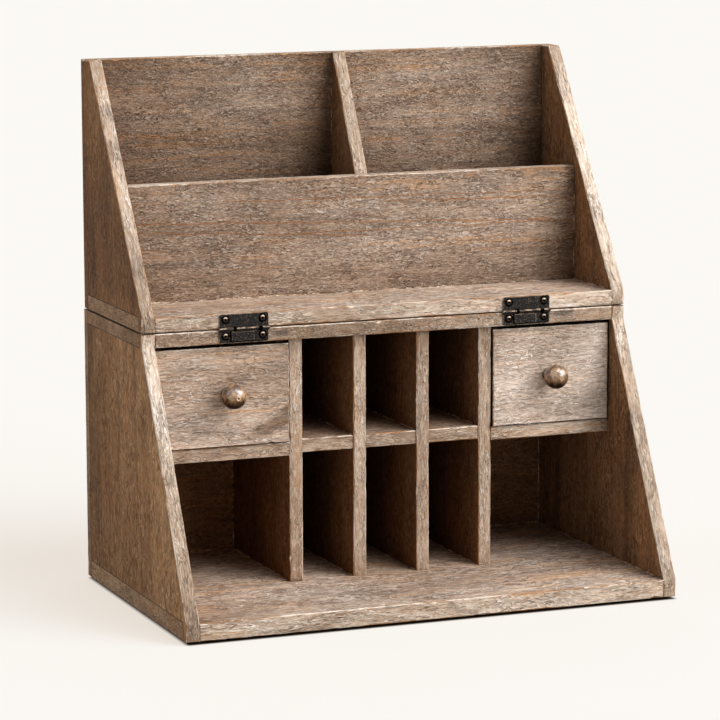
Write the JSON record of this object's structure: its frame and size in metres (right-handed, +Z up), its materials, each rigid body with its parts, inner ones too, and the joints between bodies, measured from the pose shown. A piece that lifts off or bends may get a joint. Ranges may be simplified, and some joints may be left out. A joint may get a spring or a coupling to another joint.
{
  "type": "desk caddy",
  "caption": "Weathered-wood desk organiser: a slanted letter rack hinged on a case with drawers, pigeonholes and open cubbies.",
  "frame": {"origin": "middle of the covered footprint, on the surface that the caddy stands on", "axes": "+Z up, -Y towards the front, +X to the right as seen from the front"},
  "size_m": [0.38, 0.232, 0.3935],
  "materials": {
    "side_panels": "weathered, open grain, worn edges",
    "boards": "weathered, open grain, worn edges",
    "back_panels": "weathered, open grain, worn edges",
    "dividers": "weathered, open grain, worn edges",
    "shelves": "weathered, open grain, worn edges",
    "drawer_fronts": "weathered, open grain, worn edges",
    "drawer_boxes": "weathered, open grain, worn edges",
    "knobs": "rubbed antique brown wax",
    "hinge_iron": "blackened iron, worn bright on the knuckles",
    "hinge_screws": "blackened steel, rubbed",
    "steel_screws": "plain steel",
    "felt": "dark wool felt, self-adhesive",
    "brads": "dull oxidised steel"
  },
  "bodies": {
    "lower_case": {"bottom_board": "boards", "lower_side_left": "side_panels", "lower_side_right": "side_panels", "lower_top_board": "boards", "lower_back_panel": "back_panels", "back_brads": "brads", "felt_pads": "felt", "divider_left_outer": "dividers", "divider_left_inner": "dividers", "divider_right_inner": "dividers", "divider_right_outer": "dividers", "pigeonhole_shelf_left": "shelves", "pigeonhole_shelf_middle": "shelves", "pigeonhole_shelf_right": "shelves", "drawer_shelf_left": "shelves", "drawer_shelf_right": "shelves", "hinge_left_lower_leaf": "hinge_iron", "hinge_right_lower_leaf": "hinge_iron", "hinge_left_pin": "hinge_iron", "hinge_right_pin": "hinge_iron", "hinge_screws_lower": "hinge_screws"},
    "letter_rack": {"upper_side_left": "side_panels", "upper_side_right": "side_panels", "upper_base_board": "boards", "upper_back_panel": "back_panels", "rack_panel": "boards", "upper_divider": "dividers", "hinge_left_upper_leaf": "hinge_iron", "hinge_right_upper_leaf": "hinge_iron", "hinge_screws_upper": "hinge_screws"},
    "drawer_left": {"drawer_left_front": "drawer_fronts", "drawer_left_side_left": "drawer_boxes", "drawer_left_side_right": "drawer_boxes", "drawer_left_back": "drawer_boxes", "drawer_left_floor": "drawer_boxes", "drawer_left_knob": "knobs", "drawer_left_knob_screw": "steel_screws"},
    "drawer_right": {"drawer_right_front": "drawer_fronts", "drawer_right_side_left": "drawer_boxes", "drawer_right_side_right": "drawer_boxes", "drawer_right_back": "drawer_boxes", "drawer_right_floor": "drawer_boxes", "drawer_right_knob": "knobs", "drawer_right_knob_screw": "steel_screws"}
  },
  "joints": [
    {"name": "rack_tilt", "type": "hinge", "parent": "lower_case", "child": "letter_rack", "pos_m": [0, -0.0253, 0.207], "axis": [1, 0, 0], "range_deg": [0, 120]},
    {"name": "drawer_left_slide", "type": "slide", "parent": "lower_case", "child": "drawer_left", "axis": [0, -1, 0], "range_m": [0, 0.09]},
    {"name": "drawer_right_slide", "type": "slide", "parent": "lower_case", "child": "drawer_right", "axis": [0, -1, 0], "range_m": [0, 0.09]}
  ]
}
